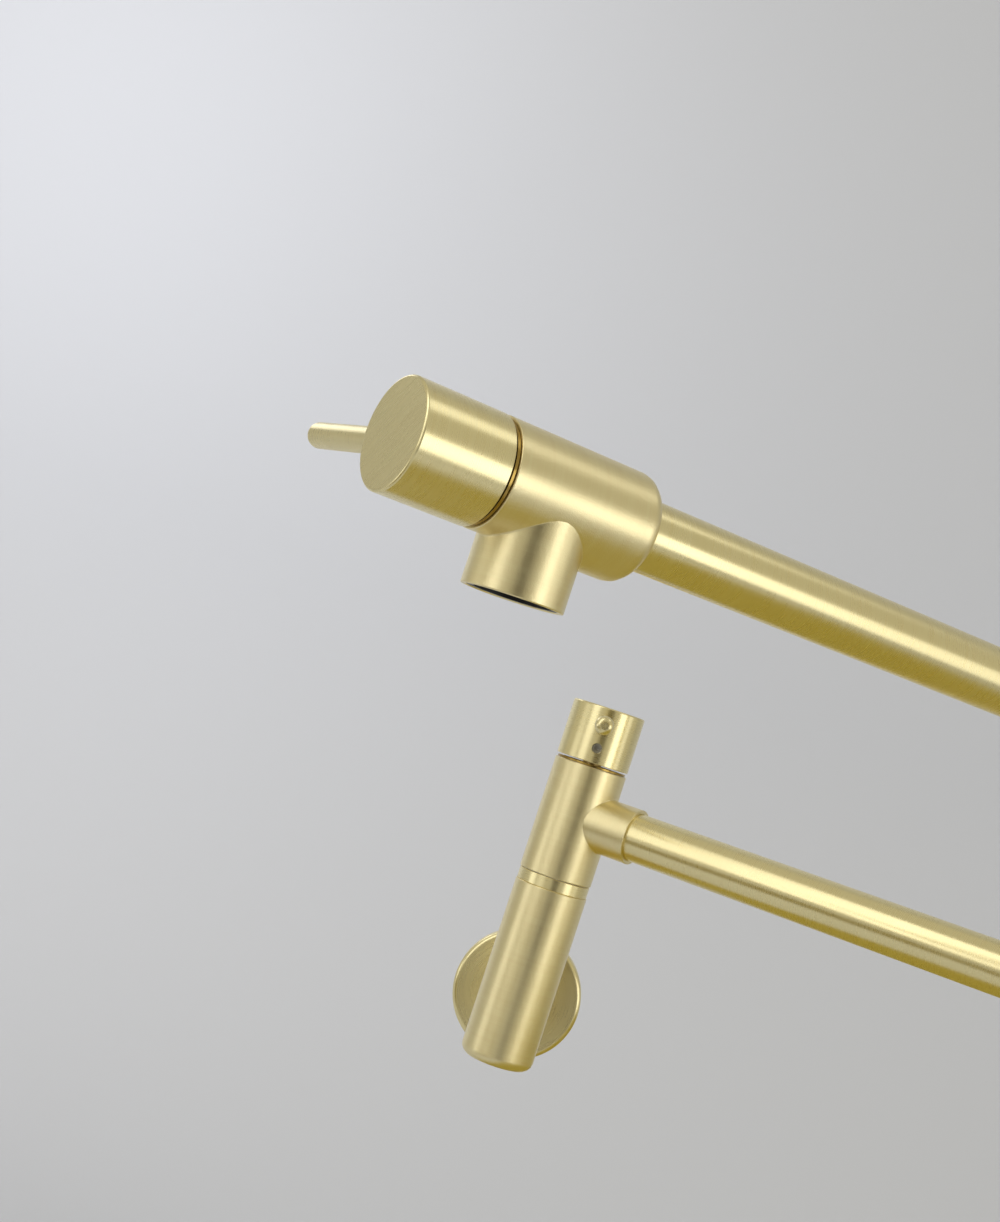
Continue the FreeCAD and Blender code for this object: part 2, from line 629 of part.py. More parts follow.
def aerator():
    """Washer, housing, flow former and mesh of the outlet, along the stub."""
    below = headFrame + " * placement(vector(0; 0; -outletOffset); rotation(vector(0; 1; 0); 90))"
    outer = "aeratorSeat - fitClearance"
    washerTop = "aeratorTop + washerThickness"
    formerEnd = washerTop + " + formerHeight"
    ring("aerator_washer", below, "outletBore", outer, "aeratorTop", washerTop)
    ring("aerator_housing", below, "aeratorBore", outer, washerTop, "aeratorBottom")
    core = doc.addObject("PartDesign::Body", "aerator_core")
    plug = "aeratorBore - fitClearance"
    boss(core, "XY_Plane", washerTop, "formerHeight", ("0", "0"), plug)
    hole = bore(core, "XY_Plane", washerTop, "formerHeight", ("formerCircle", "0"), "formerHole")
    repeat_round(core, hole, 12)
    keep(core, "aerator_core", below)
    mesh_disc("aerator_screen", below, "(" + plug + ")", formerEnd)


# Valves: the same ceramic cartridge in the wall post and in the head

def cartridge(prefix, frame):
    """Housing, discs, seals and nut of one quarter-turn valve; ports open at rest."""
    wall = "discRadius + fitClearance"
    outside = "pocketRadius - fitClearance"
    neck = "spindleRadius + runClearance"
    roof = "flangeTop + endPlay"
    glandWall = "spindleRadius + endPlay + 2 * glandSection + fitClearance"
    housing = turned(prefix + "_cartridge_body", frame, [
        (wall, "discBottom"), (outside, "discBottom"), (outside, "nutBottom"), (neck, "nutBottom"),
        (neck, "glandRoof"), (glandWall, "glandRoof"), (glandWall, "glandFloor"),
        (neck, "glandFloor"), (neck, roof), (wall, roof)])
    bore(housing, "YZ_Plane", "-pocketRadius", "2 * pocketRadius", ("0", "-windowDepth"), "portRadius")
    ring(prefix + "_seat_seal", frame, "coreBore", outside, "-pocketDepth", "discBottom")
    oRing = doc.addObject("Part::Torus", prefix + "Seal")
    bind(oRing, "Radius1", "spindleRadius + endPlay + glandSection")
    bind(oRing, "Radius2", "glandSection")
    keep(oRing, prefix + "_spindle_o_ring",
         frame + " * placement(vector(0; 0; glandMiddle); " + noTurn + ")")
    discs = (("_fixed_disc", "discBottom", "discRadius"),
             ("_moving_disc", "discMiddle", "discRadius - fitClearance"))
    for name, low, radius in discs:
        disc = doc.addObject("PartDesign::Body", prefix + name)
        boss(disc, "XY_Plane", low, "discThickness", ("0", "0"), radius)
        port = bore(disc, "XY_Plane", low, "discThickness", ("portCircle", "0"), "portRadius")
        repeat_round(disc, port, 2)
        keep(disc, prefix + name, frame)
    spindle = turned(prefix + "_spindle", frame, [
        ("0", "discTop"), ("discRadius - endPlay", "discTop"), ("discRadius - endPlay", "flangeTop"),
        ("spindleRadius", "flangeTop"), ("spindleRadius", "spindleTop"), ("0", "spindleTop")])
    across = [("-discRadius", "-portRadius"), ("discRadius", "-portRadius"),
              ("discRadius", "portRadius"), ("-discRadius", "portRadius")]
    extrude(spindle, "Pocket", "XY_Plane", "discTop", "forkHeight", lambda s: draw_outline(s, across))
    nut = doc.addObject("PartDesign::Body", prefix + "_cartridge_nut")
    boss(nut, "XY_Plane", "nutBottom", "nutHeight", ("0", "0"), outside)
    bore(nut, "XY_Plane", "nutBottom", "nutHeight", ("0", "0"), neck + " + nutPlay")
    hole = bore(nut, "XY_Plane", "nutBottom + nutHeight / 2", "nutHeight / 2",
                ("nutHoleCircle", "0"), "nutHole")
    repeat_round(nut, hole, 2)
    keep(nut, prefix + "_cartridge_nut", frame)


def neck_ring(label, frame):
    """Recessed ring that shows in the knob gap and holds down what is under it."""
    inner = "spigotRadius + fitClearance"
    turned(label, frame, [
        (inner, "-spigotDrop"), ("neckHub", "-spigotDrop"), ("neckHub", "neckBottom"),
        ("neckRadius", "neckBottom"), ("neckRadius", "neckTop"), (inner, "neckTop")])


def knob_set(prefix, frame, length, leverDrop):
    """Knob with its lever, broached insert and grub screw; the lever points along -Y."""
    top = "knobBottom + " + length
    leverHeight = top + " - " + leverDrop
    insertBore = "insertRadius + fitClearance"
    knob = turned(prefix + "_knob", frame, [
        ("knobRecess", "knobBottom"), ("postRadius - edgeBreak", "knobBottom"),
        ("postRadius", "knobBottom + edgeBreak"), ("postRadius", top + " - knobEdge"),
        ("postRadius - knobEdge", top), ("0", top), ("0", "insertTop + fitClearance"),
        (insertBore, "insertTop + fitClearance"), (insertBore, "knobRecessDepth"),
        ("knobRecess", "knobRecessDepth")])
    bore(knob, "XZ_Plane", "leverSeat - endPlay", "postRadius", ("0", leverHeight),
         "leverRadius + fitClearance")
    bore(knob, "XZ_Plane", "insertRadius / 2", "postRadius", ("0", "screwHeight"),
         "screwRadius + fitClearance")
    turned(prefix + "_knob_insert", frame, [
        ("spindleRadius + fitClearance", "knobRecessDepth"), ("insertRadius", "knobRecessDepth"),
        ("insertRadius", "insertTop"), ("0", "insertTop"), ("0", "spindleTop + endPlay"),
        ("spindleRadius + fitClearance", "spindleTop + endPlay")])
    sideways = "; rotation(vector(1; 0; 0); 90))"
    leverFrame = frame + " * placement(vector(0; 0; " + leverHeight + ")" + sideways
    lever = turned(prefix + "_lever", leverFrame, [
        ("0", "leverSeat"), ("leverRadius - edgeBreak", "leverSeat"),
        ("leverRadius", "leverSeat + edgeBreak"), ("leverRadius", "leverReach"), ("0", "leverReach")])
    soften(lever, "Fillet", "leverRound",
           lambda e: is_rim(e, sheet.leverRadius, sheet.leverReach, 2))
    grub_screw(prefix + "_knob_screw",
               frame + " * placement(vector(0; -insertRadius - endPlay; screwHeight)" + sideways)


# The whole object

wall_flange()
ring("flange_seal", inletFrame, "sealInner + fitClearance", "sealOuter - fitClearance",
     "0", "washerThickness")
grub_screw("flange_set_screw",
           inletFrame + " * placement(vector(0; -inletPipeRadius - endPlay; flangeThickness / 2);"
           " rotation(vector(1; 0; 0); 90))")
inlet_nipple()
mesh_disc("inlet_screen", inletFrame, "(screenRadius - fitClearance)",
          "screenSeat - nippleReach - screenThickness")
ring("nipple_washer", inletFrame, "waterRadius", "threadRadius",
     "pipeBack + nippleDepth - washerThickness", "pipeBack + nippleDepth")
inlet_body()
post_core()
swivel_rings("post", postLevel)
ring("post_upper_bearing", postLevel, "boreRadius", "boreRadius + bearingWidth",
     "sleeveTop - recessDepth + endPlay / 2", "sleeveRise + neckBottom - endPlay / 2")
rubber_rings("post_o_rings", postLevel, ["lowerSealFloor", "postUpperSeal"])
neck_ring("wall_neck_ring", wallValveFrame)
cartridge("wall", wallValveFrame)
knob_set("wall", wallValveFrame, "wallKnobLength", "wallLeverDrop")

swivel_sleeve("post_sleeve", armOneFrame, "recessDepth")
tubeStart = "collarReach - socketDepth + endPlay"
arm_tube("arm_tube_1", armOneFrame, tubeStart, "armOneLength - collarReach + socketDepth - endPlay")
elbowTop = "armRise + ringBottom"
lower = fixed_half("elbow_lower_body", elbowFrame, "-elbowFoot", elbowTop)
collar(lower)
core_socket(lower, elbowTop, "-elbowChamber")
tube_socket(lower)
elbow_core()
swivel_rings("elbow", elbowLevel)
rubber_rings("elbow_o_rings", elbowLevel, ["lowerSealFloor", "elbowUpperSeal"])
elbow_clip()

swivel_sleeve("elbow_upper_sleeve", armTwoFrame, "capRecess")
ring("elbow_upper_bearing", armTwoFrame, "clipSpigot + endPlay", "boreRadius + bearingWidth",
     "sleeveTop - capRecess", "sleeveTop - capRecess + washerThickness")
elbow_cap()
arm_tube("arm_tube_2", armTwoFrame, tubeStart, "headReach - headBack + socketDepth - endPlay")
head_body()
neck_ring("head_neck_ring", headFrame)
aerator()
cartridge("head", headFrame)
knob_set("head", headFrame, "headKnobLength", "headLeverDrop")

doc.recompute()

# Nothing is written unless every object and every sub-part is sound
for thing in doc.Objects:
    if "Invalid" in thing.State or "Error" in thing.State:
        raise RuntimeError(thing.Label + " did not build: " + str(thing.State))
for thing in parts:
    if thing.Shape.isNull() or not thing.Shape.isValid():
        raise RuntimeError(thing.Label + " has no valid shape")

os.makedirs("parts", exist_ok=True)
for thing in parts:
    thing.Shape.exportStep(os.path.join("parts", thing.Label + ".step"))
    box = thing.Shape.BoundBox
    print("%-22s solids %d  volume %9.1f  z %7.1f to %7.1f" % (
        thing.Label, len(thing.Shape.Solids), thing.Shape.Volume, box.ZMin, box.ZMax))
print(len(parts), "sub-parts")
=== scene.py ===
import json

import bmesh
import bpy
import numpy as np
from mathutils import Matrix

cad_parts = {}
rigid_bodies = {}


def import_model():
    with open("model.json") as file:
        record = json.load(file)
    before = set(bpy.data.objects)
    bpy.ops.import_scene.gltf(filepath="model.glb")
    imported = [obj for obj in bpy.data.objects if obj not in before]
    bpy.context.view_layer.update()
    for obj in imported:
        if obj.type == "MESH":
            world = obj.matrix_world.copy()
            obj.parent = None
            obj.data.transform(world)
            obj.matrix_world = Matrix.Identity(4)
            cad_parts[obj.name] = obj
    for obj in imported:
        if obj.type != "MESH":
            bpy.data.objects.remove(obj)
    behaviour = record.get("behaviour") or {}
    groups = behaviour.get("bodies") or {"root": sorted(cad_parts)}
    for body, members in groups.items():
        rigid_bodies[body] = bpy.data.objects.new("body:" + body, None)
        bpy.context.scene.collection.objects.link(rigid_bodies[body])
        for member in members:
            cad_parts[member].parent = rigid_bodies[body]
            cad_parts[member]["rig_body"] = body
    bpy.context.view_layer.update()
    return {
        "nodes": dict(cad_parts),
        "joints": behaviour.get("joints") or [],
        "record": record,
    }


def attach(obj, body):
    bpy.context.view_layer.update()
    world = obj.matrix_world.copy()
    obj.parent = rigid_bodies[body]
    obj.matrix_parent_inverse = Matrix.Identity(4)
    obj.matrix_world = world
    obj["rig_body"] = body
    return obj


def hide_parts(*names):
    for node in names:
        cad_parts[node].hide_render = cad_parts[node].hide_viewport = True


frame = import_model()
mm = 0.001
joints = {joint["name"]: joint for joint in frame["joints"]}
slots = {row["node"]: row["material_slot"] for row in frame["record"]["subparts"]}
upward, wallward = (0, 0, 1), (0, 1, 0)
print("frame loaded:", len(frame["nodes"]), "nodes")


# Places and sizes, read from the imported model

def makePlace(origin, along, toward):
    # A turned piece's own frame: z runs along its axis and x points across it, towards its branch.
    zAxis = np.array(along, float) / np.linalg.norm(along)
    xAxis = np.array(toward, float) - zAxis * np.dot(toward, zAxis)
    xAxis /= np.linalg.norm(xAxis)
    return np.array(origin, float), np.array([xAxis, np.cross(zAxis, xAxis), zAxis])


def measure(node, place):
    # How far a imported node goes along, round and across an axis, in metres.
    origin, axes = place
    mesh = frame["nodes"][node].data
    flat = np.empty(len(mesh.vertices) * 3)
    mesh.vertices.foreach_get("co", flat)
    local = (flat.reshape(-1, 3) - origin) @ axes.T
    radius = np.hypot(local[:, 0], local[:, 1])
    return {"low": local[:, 2].min(), "high": local[:, 2].max(), "radius": radius.max(),
            "bore": radius.min(), "side": np.abs(local[:, 1]).max(), "reach": local[:, 0].max()}


postSpot = np.array(joints["post_swivel"]["pos_m"])
elbowSpot = np.array(joints["elbow_swivel"]["pos_m"])
wallGap = np.array(joints["wall_valve_turn"]["pos_m"])
headGap = np.array(joints["head_valve_turn"]["pos_m"])
headAxis = np.array(joints["head_valve_turn"]["axis"])
inletSpot = np.array(frame["record"]["mounts"][0]["pos_m"])

places = {
    "post": makePlace(postSpot, upward, elbowSpot - postSpot),
    "inletBody": makePlace((postSpot[0], postSpot[1], inletSpot[2]), upward, wallward),
    "inlet": makePlace(inletSpot, (0, -1, 0), (0, 0, -1)),
    "wallKnob": makePlace(wallGap, upward, np.negative(wallward)),
    "elbowLow": makePlace((elbowSpot[0], elbowSpot[1], postSpot[2]), upward, postSpot - elbowSpot),
    "elbowHigh": makePlace(elbowSpot, upward, headAxis),
    "armOne": makePlace(postSpot, elbowSpot * (1, 1, 0) - postSpot * (1, 1, 0), upward),
    "armTwo": makePlace(elbowSpot, headAxis, upward),
    "head": makePlace(headGap, headAxis, (0, 0, -1)),
    "headKnob": makePlace(headGap, headAxis, np.cross(headAxis, upward)),
}


def heightOf(node, place):
    # Where a piece lies along another one's axis.
    size = measure(node, places[place])
    return (size["low"] + size["high"]) / 2


for end in ("wall", "head"):
    spot, axes = places[end + "Knob"]
    leverSpot = spot + axes[2] * heightOf(end + "_lever", end + "Knob")
    places[end + "Lever"] = makePlace(leverSpot, axes[0], axes[2])


# Surfaces on a grid. Each grid is points, outward normals and brushing: turns along the hairlines,
# and metres across them.

mesher = {
    "columns": 120, "sideSteps": 10, "arcSteps": 5, "patchRows": 10, "blendRows": 7,
    "spareColumns": 2,  # room on each side of a branch, in columns
    "crowding": 1.3,  # over 1, the rows of a patch draw together towards the branch
    "straightRun": 1 * mm,  # a wall at least this high can carry branches
    "weld": 1e-6,
}


def roundCorners(corners, closed=False):
    # An outline through corners of radius, height and rounding, with the solid on its left. Each
    # corner becomes an arc that touches both sides. Rows are radius, height and outward normal.
    corners = np.array(corners, float)
    spots, rounds = corners[:, :2], corners[:, 2]
    ahead = np.roll(spots, -1, axis=0) - spots
    ahead /= np.linalg.norm(ahead, axis=1)[:, None]
    rows = []
    for index, spot in enumerate(spots):
        into, out = ahead[index - 1], ahead[index]
        if not closed and index in (0, len(spots) - 1):
            way = out if index == 0 else into
            rows.append([[*spot, way[1], -way[0]]])
            continue
        turn = np.arctan2(into[0] * out[1] - into[1] * out[0], into @ out)
        start = spot - into * rounds[index] * np.tan(abs(turn) / 2)
        angle = turn * np.linspace(0, 1, mesher["arcSteps"])[:, None]
        normal = np.array([into[1], -into[0]])
        across = np.array([-normal[1], normal[0]])
        normals = np.cos(angle) * normal + np.sin(angle) * across
        centre = start - np.sign(turn) * rounds[index] * normal
        rows.append(np.hstack([centre + np.sign(turn) * rounds[index] * normals, normals]))
    table = np.vstack(rows)
    return np.vstack([table, table[:1]]) if closed else table


def turnedGrid(table, straight=None, skip=0):
    # Point = (radius cos turn, radius sin turn, height) over a full turn, less some columns on each
    # side of its start. Hairlines run round the axis, or straight across a flat end at an angle.
    columns = mesher["columns"]
    turn = np.arange(skip, columns - skip + 1) * 2 * np.pi / columns
    radius, height, outward, upwards = table.T[:, :, None]
    cos, sin, one = np.cos(turn), np.sin(turn), np.ones_like(turn)
    points = np.stack([radius * cos, radius * sin, height * one], axis=-1)
    normals = np.stack([outward * cos, outward * sin, upwards * one], axis=-1)
    steps = np.hypot(*np.diff(table[:, :2], axis=0).T)
    run = np.concatenate([[0], np.cumsum(steps)])[:, None] + table[0, 1]
    brush = np.stack([turn / (2 * np.pi) + 0 * run, run * one], axis=-1)
    if straight is not None:
        across, along = np.cos(straight), np.sin(straight)
        slant = np.array([[across, -along], [along, across]])
        brush = points[:, :, :2] @ slant / (2 * np.pi * radius.max(), 1)
    return points, normals, brush


def branchGrids(wall, branch):
    # A round branch or hole on a round wall. A part of the wall is unrolled into a rectangle round
    # the branch, and its edge is led in straight lines to the ring where a ball of the blend's
    # radius touches the wall. The ball rolls on to the branch, whose own outline then goes on. A
    # hole's ball rolls inside the wall. The rest of the band goes round the far side.
    sign, table, blend = branch["sign"], branch["table"], branch["blend"]
    half, centre = branch["half"], branch["at"]
    radius, step = table[0, 0], 2 * np.pi / mesher["columns"]
    ballWall, ballBranch = wall + sign * blend, radius + blend
    spread = int(np.ceil(np.arcsin(ballBranch / ballWall) / step)) + mesher["spareColumns"]
    turnEdge = np.arange(-spread, spread + 1) * step * wall
    sideEdge = np.linspace(half, -half, mesher["sideSteps"] + 1)
    count = 2 * spread
    around = np.concatenate([turnEdge[:-1], 0 * sideEdge[:-1] + turnEdge[-1], turnEdge[:0:-1],
                             0 * sideEdge + turnEdge[0]])
    along = np.concatenate([np.full(count, half), sideEdge[:-1], np.full(count, -half),
                            sideEdge[::-1]])
    theta = np.unwrap(np.arctan2(around, along))
    ballAcross = ballBranch * np.sin(theta)
    ballOut = np.sqrt(ballWall ** 2 - ballAcross ** 2)
    ballAlong = ballBranch * np.cos(theta)
    startAround = wall * np.arcsin(ballAcross / ballWall)

    share = np.linspace(1, 0, mesher["patchRows"])[:, None] ** mesher["crowding"]
    flatAround = startAround + (around - startAround) * share
    flatAlong = ballAlong + (along - ballAlong) * share
    cos, sin = np.cos(flatAround / wall), np.sin(flatAround / wall)
    patch = (np.stack([wall * cos, -wall * sin, flatAlong + centre], axis=-1),
             np.stack([cos, -sin, 0 * cos], axis=-1),
             np.stack([-flatAround / (2 * np.pi * wall), flatAlong + centre], axis=-1))

    ball = np.stack([ballOut, -ballAcross, ballAlong + centre], axis=-1)
    wallNormal = np.stack([ballOut, -ballAcross, 0 * theta], axis=-1) / ballWall
    branchNormal = sign * np.stack([0 * theta, -np.sin(theta), np.cos(theta)], axis=-1)
    wide = np.arccos(np.sum(wallNormal * branchNormal, axis=-1))[:, None]
    share = np.linspace(0, 1, mesher["blendRows"])[:, None, None]
    normals = np.sin((1 - share) * wide) * wallNormal + np.sin(share * wide) * branchNormal
    normals /= np.sin(wide)
    turns = theta / (2 * np.pi)
    run = share[:, :, 0] * blend * wide[:, 0]
    roll = (ball - sign * blend * normals, normals, np.stack([turns + 0 * run, run], axis=-1))

    rows = np.vstack([table[:1], table])
    ring, outward, upwards = rows[:, :1], rows[:, 2:3], rows[:, 3:]
    out = np.repeat(rows[:, 1:2], len(theta), axis=1)
    out[0] = ballOut
    cos, sin = np.cos(theta), np.sin(theta)
    shaft = (np.stack([out, -ring * sin, ring * cos + centre], axis=-1),
             np.stack([upwards + 0 * theta, -outward * sin, outward * cos], axis=-1),
             np.stack([turns + 0 * out, out - ring], axis=-1))
    strip = np.stack([0 * sideEdge + wall, centre - sideEdge, 1 + 0 * sideEdge, 0 * sideEdge],
                     axis=-1)
    return [patch, roll, shaft, turnedGrid(strip, skip=spread)]


def wallGrids(table, branches):
    # A turned piece whose straight outer wall carries branches or holes, each in its own band.
    wall = table[:, 0].max()
    onWall = np.isclose(table[:, 0], wall) & np.isclose(np.roll(table[:, 0], -1), wall)
    rises = np.roll(table[:, 1], -1) - table[:, 1] > mesher["straightRun"]
    first = int(np.argmax(onWall & rises))
    grids, start = [], table[:first + 1]
    for branch in branches:
        grids.append(turnedGrid(np.vstack([start, [wall, branch["at"] - branch["half"], 1, 0]])))
        grids += branchGrids(wall, branch)
        start = np.array([[wall, branch["at"] + branch["half"], 1, 0]])
    return grids + [turnedGrid(np.vstack([start, table[first + 1:]]))]


def buildMesh(name, grids, place):
    # Grids side by side as quads, welded where they meet, with the exact normals kept.
    origin, axes = place
    points = np.vstack([grid[0].reshape(-1, 3) for grid in grids]) @ axes + origin
    normals = np.vstack([grid[1].reshape(-1, 3) for grid in grids]) @ axes
    quads, base = [], 0
    for grid in grids:
        rows, columns = grid[0].shape[:2]
        index = base + np.arange(rows * columns).reshape(rows, columns)
        quads.append(np.stack([index[:-1, :-1], index[:-1, 1:], index[1:, 1:], index[1:, :-1]],
                              axis=-1).reshape(-1, 4))
        base += rows * columns
    quads = np.vstack(quads)
    brush = np.vstack([grid[2].reshape(-1, 2) for grid in grids])[quads.ravel()]
    mesh = bpy.data.meshes.new(name)
    mesh.vertices.add(len(points))
    mesh.vertices.foreach_set("co", points.ravel())
    mesh.loops.add(quads.size)
    mesh.loops.foreach_set("vertex_index", quads.ravel())
    mesh.polygons.add(len(quads))
    mesh.polygons.foreach_set("loop_start", np.arange(0, quads.size, 4))
    mesh.uv_layers.new(name="brushing").data.foreach_set("uv", brush.ravel())
    outward = mesh.attributes.new("outward", "FLOAT_VECTOR", "POINT")
    outward.data.foreach_set("vector", normals.ravel())
    mesh.update(calc_edges=True)
    welded = bmesh.new()
    welded.from_mesh(mesh)
    bmesh.ops.remove_doubles(welded, verts=welded.verts, dist=mesher["weld"])
    welded.to_mesh(mesh)
    welded.free()
    kept = np.empty(len(mesh.vertices) * 3)
    mesh.attributes["outward"].data.foreach_get("vector", kept)
    mesh.attributes.remove(mesh.attributes["outward"])
    mesh.polygons.foreach_set("use_smooth", np.ones(len(mesh.polygons), bool))
    mesh.normals_split_custom_set_from_vertices(kept.reshape(-1, 3))
    return mesh


def addObject(name, data):
    thing = bpy.data.objects.new(name, data)
    bpy.context.scene.collection.objects.link(thing)
    return thing


def standIn(name, node, grids, place, material):
    # The finished piece: it rides on its node's body, takes the given material and stands for it.
    piece = addObject(name, buildMesh(name, grids, place))
    piece.data.materials.append(material)
    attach(piece, frame["nodes"][node]["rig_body"])
    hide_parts(node)


# Materials

srgbCurve = {"knee": 0.04045, "slope": 12.92, "lift": 0.055, "stretch": 1.055, "power": 2.4}


def linear(text):
    # An sRGB hex colour as linear red, green, blue and alpha.
    colour = np.array([int(text[i:i + 2], 16) for i in (1, 3, 5)]) / 255
    bent = ((colour + srgbCurve["lift"]) / srgbCurve["stretch"]) ** srgbCurve["power"]
    return (*np.where(colour <= srgbCurve["knee"], colour / srgbCurve["slope"], bent), 1.0)


def addNode(tree, kind, inputs, **settings):
    # One node, its settings, and its inputs as values or as sockets to link.
    node = tree.nodes.new(kind)
    for name, value in settings.items():
        setattr(node, name, value)
    for name, value in inputs.items():
        if isinstance(value, bpy.types.NodeSocket):
            tree.links.new(value, node.inputs[name])
        else:
            node.inputs[name].default_value = value
    return node


def newMaterial(name):
    material = bpy.data.materials.new(name)
    material.use_nodes = True
    material.node_tree.nodes.clear()
    return material, material.node_tree


def closeMaterial(tree, shader):
    addNode(tree, "ShaderNodeOutputMaterial", {"Surface": shader.outputs[0]})


# Brushed brass, gold coloured and satin: belt-brushed round each turned piece, so a lamp's
# reflection is drawn out along the axis and stays narrow round it, with fine hairlines across it.
# Widths and sizes are in mm, lengths in turns round the piece.
gold = {
    "anisotropy": 0.6,
    "stretchTurn": 0.25,  # turns from the hairlines to the way a reflection is drawn out
    "hairWidth": 0.22,  # real hairlines are about 0.05 mm wide, drawn coarser to show
    "hairLength": 0.10,
    "streakWidth": 1.3,  # a wider pass of the belt
    "streakLength": 0.3,
    "lineDetail": 3.0, "lineRoughness": 0.6,
    "cloud": 24, "cloudDetail": 2.0,  # slow changes of the belt's bite
    "speckle": 0.28, "speckleDetail": 1.0,  # fine pits of a casting, drawn coarser than real ones
    "colourFrom": 0.6, "colourTo": 1.4,  # hairline and streak noise, added, from deep to light
    "biteFrom": 1.1, "biteTo": 1.9,  # the same with the cloud, from smooth to rough
}
# Turned and tube pieces take an even belt finish. Cast bodies are brushed by hand, so they are
# duller and show a fine speckle. The rings in the knob gaps are a little smoother, and their dark
# brown gold is painted shade for the shadow that falls in those narrow gaps.
# Light and deep are the colours that the hairlines mix, and pits is the speckle's depth in mm.
goldGrades = {
    "turnedGoldBrass": {"light": "#f5e9b4", "deep": "#f0e1aa", "roughness": 0.28,
                        "unevenness": 0.05, "pits": 0.005},
    "castGoldBrass": {"light": "#f5e9b7", "deep": "#f0e0ac", "roughness": 0.33,
                      "unevenness": 0.08, "pits": 0.045},
    # painted shade: the gap rings' light and deep colours are darkened for the shadow in the knob
    # gaps
    "paintedShadeRingGold": {"light": "#b99c55", "deep": "#a08443", "roughness": 0.24,
                      "unevenness": 0.05, "pits": 0.005},
}


def hairlines(tree, turns, across, length, width):
    # Noise wrapped round the axis: (metres across / width, cos turn / length, sin turn / length).
    reach = 1 / (2 * np.pi * length)
    angle = addNode(tree, "ShaderNodeMath", {0: turns, 1: 2 * np.pi}, operation="MULTIPLY")
    parts = {"X": addNode(tree, "ShaderNodeMath", {0: across, 1: 1 / (width * mm)},
                          operation="MULTIPLY").outputs[0]}
    for axis, wave in (("Y", "COSINE"), ("Z", "SINE")):
        swing = addNode(tree, "ShaderNodeMath", {0: angle.outputs[0]}, operation=wave)
        parts[axis] = addNode(tree, "ShaderNodeMath", {0: swing.outputs[0], 1: reach},
                              operation="MULTIPLY").outputs[0]
    spot = addNode(tree, "ShaderNodeCombineXYZ", parts).outputs[0]
    return addNode(tree, "ShaderNodeTexNoise", {
        "Vector": spot, "Scale": 1.0, "Detail": gold["lineDetail"],
        "Roughness": gold["lineRoughness"]}).outputs[0]


def brushedGold(name):
    grade = goldGrades[name]
    material, tree = newMaterial(name)
    brushing = addNode(tree, "ShaderNodeUVMap", {}, uv_map="brushing").outputs[0]
    turns, across = addNode(tree, "ShaderNodeSeparateXYZ", {"Vector": brushing}).outputs[:2]
    hair = hairlines(tree, turns, across, gold["hairLength"], gold["hairWidth"])
    streak = hairlines(tree, turns, across, gold["streakLength"], gold["streakWidth"])
    position = addNode(tree, "ShaderNodeTexCoord", {}).outputs["Object"]
    cloud = addNode(tree, "ShaderNodeTexNoise", {
        "Vector": position, "Scale": 1 / (gold["cloud"] * mm),
        "Detail": gold["cloudDetail"]}).outputs[0]
    grain = addNode(tree, "ShaderNodeMath", {0: hair, 1: streak}, operation="ADD").outputs[0]
    mixing = addNode(tree, "ShaderNodeMapRange", {
        "Value": grain, "From Min": gold["colourFrom"], "From Max": gold["colourTo"]}).outputs[0]
    colour = addNode(tree, "ShaderNodeMix", {
        "Factor": mixing, "A": linear(grade["deep"]), "B": linear(grade["light"])},
        data_type="RGBA")
    bite = addNode(tree, "ShaderNodeMath", {0: grain, 1: cloud}, operation="ADD").outputs[0]
    roughness = addNode(tree, "ShaderNodeMapRange", {
        "Value": bite, "From Min": gold["biteFrom"], "From Max": gold["biteTo"],
        "To Min": grade["roughness"] - grade["unevenness"] / 2,
        "To Max": grade["roughness"] + grade["unevenness"] / 2}).outputs[0]
    speckle = addNode(tree, "ShaderNodeTexNoise", {
        "Vector": position, "Scale": 1 / (gold["speckle"] * mm),
        "Detail": gold["speckleDetail"]}).outputs[0]
    skin = addNode(tree, "ShaderNodeBump", {
        "Height": speckle, "Strength": 1.0, "Distance": grade["pits"] * mm}).outputs[0]
    tangent = addNode(tree, "ShaderNodeTangent", {}, direction_type="UV_MAP", uv_map="brushing")
    shader = addNode(tree, "ShaderNodeBsdfPrincipled", {
        "Base Color": colour.outputs["Result"], "Metallic": 1.0, "Roughness": roughness,
        "Anisotropic": gold["anisotropy"], "Anisotropic Rotation": gold["stretchTurn"],
        "Tangent": tangent.outputs[0], "Normal": skin})
    closeMaterial(tree, shader)
    return material


# The other finishes: colour, metallic, roughness and how far it spreads, the size in mm of the
# pattern that breaks it up, and the strength of its bump
finishes = {
    # Free-cutting brass, turned and left bare: warm metal with fine tool marks
    "bare_brass": {"colour": "#d9b978", "metallic": 1.0, "roughness": 0.28, "spread": 0.12,
                   "grain": 0.9, "bump": 0.15},
    # Stainless steel, drawn or pressed: neutral grey metal, slightly mottled
    "stainless_steel": {"colour": "#c4c3bf", "metallic": 1.0, "roughness": 0.3, "spread": 0.14,
                        "grain": 1.4, "bump": 0.1},
    # EPDM rubber, moulded: near black and dull, with a fine matt skin
    "black_rubber": {"colour": "#1d1d1e", "metallic": 0.0, "roughness": 0.72, "spread": 0.16,
                     "grain": 0.35, "bump": 0.35},
    # Acetal, turned from rod: milky white and slippery
    "white_acetal": {"colour": "#e9e8e2", "metallic": 0.0, "roughness": 0.4, "spread": 0.1,
                     "grain": 1.1, "bump": 0.12},
    # Acetal, moulded black: even satin skin
    "black_plastic": {"colour": "#1b1c1e", "metallic": 0.0, "roughness": 0.42, "spread": 0.12,
                      "grain": 0.5, "bump": 0.2},
    # Alumina, sintered and lapped: off-white and glossy
    "valve_ceramic": {"colour": "#efece2", "metallic": 0.0, "roughness": 0.12, "spread": 0.06,
                      "grain": 0.8, "bump": 0.04},
}
